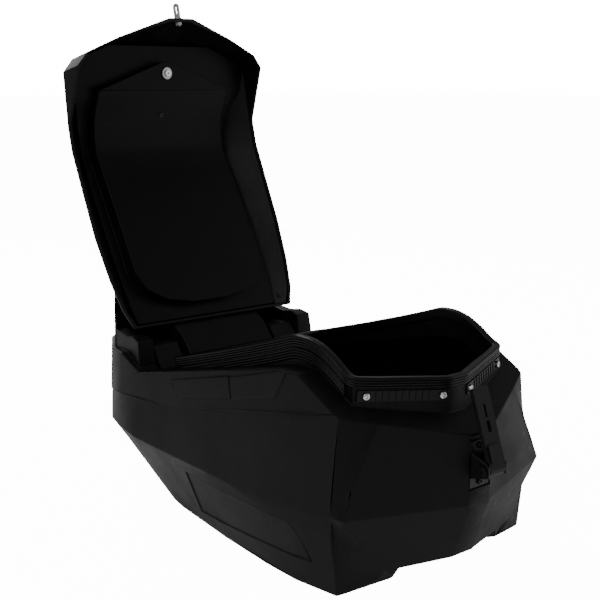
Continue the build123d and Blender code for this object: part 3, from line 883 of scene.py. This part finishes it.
ROUNDED = [
    RoundedCopy("tub", Look.SHELL, 1.2 * MM, flat_angle=5.0),
    RoundedCopy("lid_shell", Look.SHELL, 1.2 * MM, flat_angle=4.0),
    RoundedCopy("lid_liner", Look.LINER, 0.9 * MM),
    RoundedCopy("front_strip_left", Look.SEAL, 0.35 * MM),
    RoundedCopy("front_strip_right", Look.SEAL, 0.35 * MM),
    RoundedCopy("strip_screws", Look.BRIGHT, 0.25 * MM, head_radius=4.2 * MM),
    RoundedCopy("bracket_screws", Look.PAINTED, 0.2 * MM, head_radius=4.0 * MM),
    RoundedCopy("latch_strap", Look.STRAP, 0.7 * MM),
    RoundedCopy("latch_bracket", Look.PAINTED, 0.5 * MM),
    RoundedCopy("latch_bolt", Look.PAINTED, 0.4 * MM, least_length=1.0),
    RoundedCopy("latch_nut", Look.PAINTED, 0.3 * MM),
    RoundedCopy("padlock_eye", Look.CAST, 0.6 * MM, least_length=1.0),
    RoundedCopy("lid_bumpers", Look.SEAL, 0.6 * MM),
    RoundedCopy("lid_plug", Look.SEAL, 0.3 * MM, least_length=1.0),
    RoundedCopy("liner_washer", Look.ZINC, 0.4 * MM, least_length=1.0),
    RoundedCopy("liner_screw", Look.BRIGHT, 0.25 * MM),
    RoundedCopy("eye_nut", Look.ZINC, 0.3 * MM),
    RoundedCopy("strip_nuts", Look.ZINC, 0.3 * MM),
    RoundedCopy("floor_plate", Look.ZINC, 0.4 * MM),
    RoundedCopy("hinge_bush_left", Look.DARK, 0.4 * MM, least_length=1.0),
    RoundedCopy("hinge_bush_right", Look.DARK, 0.4 * MM, least_length=1.0),
    RoundedCopy("hinge_pin", Look.ZINC, 0.6 * MM, least_length=1.0),
]


# ---------------------------------------------------------------- studio


@dataclass(frozen=True)
class Softbox:
    """A square soft light: where it hangs, the point it faces, its side in metres and its power in watts."""

    name: str
    place: tuple[float, float, float]
    target: tuple[float, float, float]
    size: float
    power: float

    def hang(self) -> None:
        """Add the light to the scene."""
        lamp = bpy.data.lights.new(self.name, "AREA")
        lamp.size = self.size
        lamp.energy = self.power
        thing = bpy.data.objects.new(self.name, lamp)
        thing.location = self.place
        towards = Vector(self.target) - Vector(self.place)
        thing.rotation_euler = towards.to_track_quat("-Z", "Y").to_euler()
        bpy.context.scene.collection.objects.link(thing)


SOFTBOXES = [
    Softbox("key_softbox", (-1.6, -0.6, 1.9), (0.0, 0.0, 0.1), 1.6, 20.0),
    Softbox("right_softbox", (1.7, -1.3, 0.9), (0.0, -0.1, 0.12), 1.4, 5.0),
    Softbox("back_softbox", (0.6, 2.0, 1.7), (0.0, 0.0, 0.3), 1.8, 30.0),
]


@dataclass
class Studio:
    """Pale floor, white room, soft lights and the camera."""

    camera_place: tuple[float, float, float] = (-0.998, -1.079, 0.533)
    azimuth: float = 42.8
    pitch: float = -10.2
    lens: float = 72.9
    floor_size: float = 80.0
    floor_glow: float = 14.0
    floor_bounce: float = 0.02
    room_light: float = 0.24
    room_seen: float = 16.0

    def build(self) -> None:
        """Set up the floor, the world, the lights and the camera."""
        self._floor()
        self._world()
        for softbox in SOFTBOXES:
            softbox.hang()
        self._camera()

    def _floor(self) -> None:
        """Lay the floor."""
        shape = bmesh.new()
        bmesh.ops.create_grid(shape, x_segments=2, y_segments=2, size=self.floor_size / 2)
        mesh = bpy.data.meshes.new("floor")
        shape.to_mesh(mesh)
        shape.free()
        material = bpy.data.materials.new("pale_floor")
        material.use_nodes = True
        shader = material.node_tree.nodes["Principled BSDF"]
        shader.inputs["Base Color"].default_value = (0.95, 0.95, 0.95, 1.0)
        seen = material.node_tree.nodes.new("ShaderNodeMix")
        seen.data_type = "RGBA"
        seen.inputs[MIX_FIRST].default_value = (self.floor_bounce,) * 3 + (1.0,)
        seen.inputs[MIX_SECOND].default_value = (1.0, 1.0, 1.0, 1.0)
        rays = material.node_tree.nodes.new("ShaderNodeLightPath")
        material.node_tree.links.new(rays.outputs["Is Camera Ray"], seen.inputs[MIX_FACTOR])
        material.node_tree.links.new(seen.outputs[MIX_RESULT], shader.inputs["Emission Color"])
        shader.inputs["Emission Strength"].default_value = self.floor_glow
        shader.inputs["Roughness"].default_value = 0.75
        shader.inputs["Specular IOR Level"].default_value = 0.1
        mesh.materials.append(material)
        floor = bpy.data.objects.new("floor", mesh)
        bpy.context.scene.collection.objects.link(floor)

    def _world(self) -> None:
        """Light the scene evenly from all round."""
        world = bpy.data.worlds.new("white_room")
        world.use_nodes = True
        tree = world.node_tree
        dim = tree.nodes["Background"]
        dim.inputs["Strength"].default_value = self.room_light
        bright = tree.nodes.new("ShaderNodeBackground")
        bright.inputs["Strength"].default_value = self.room_seen
        for room in (dim, bright):
            room.inputs["Color"].default_value = (1.0, 1.0, 1.0, 1.0)
        seen = tree.nodes.new("ShaderNodeMixShader")
        tree.links.new(tree.nodes.new("ShaderNodeLightPath").outputs["Is Camera Ray"], seen.inputs["Fac"])
        tree.links.new(dim.outputs["Background"], seen.inputs[1])
        tree.links.new(bright.outputs["Background"], seen.inputs[2])
        tree.links.new(seen.outputs["Shader"], tree.nodes["World Output"].inputs["Surface"])
        bpy.context.scene.world = world

    def _camera(self) -> None:
        """Place the camera."""
        lens = bpy.data.cameras.new("camera")
        lens.lens = self.lens
        lens.sensor_width = 36.0
        lens.clip_end = 50.0
        camera = bpy.data.objects.new("camera", lens)
        camera.location = self.camera_place
        turn = Matrix.Rotation(-math.radians(self.azimuth), 4, "Z")
        tilt = Matrix.Rotation(math.radians(90.0 + self.pitch), 4, "X")
        camera.rotation_euler = (turn @ tilt).to_euler()
        bpy.context.scene.collection.objects.link(camera)
        bpy.context.scene.camera = camera


def main() -> None:
    logging.basicConfig(level=logging.INFO, format="%(name)s: %(message)s")
    palette = Palette()
    palette.prepare()
    dress_cad_nodes(palette)
    for rounded in ROUNDED:
        rounded.build(palette)
    NeckRubber().build(palette)
    Studio().build()


if __name__ == "__main__":
    main()
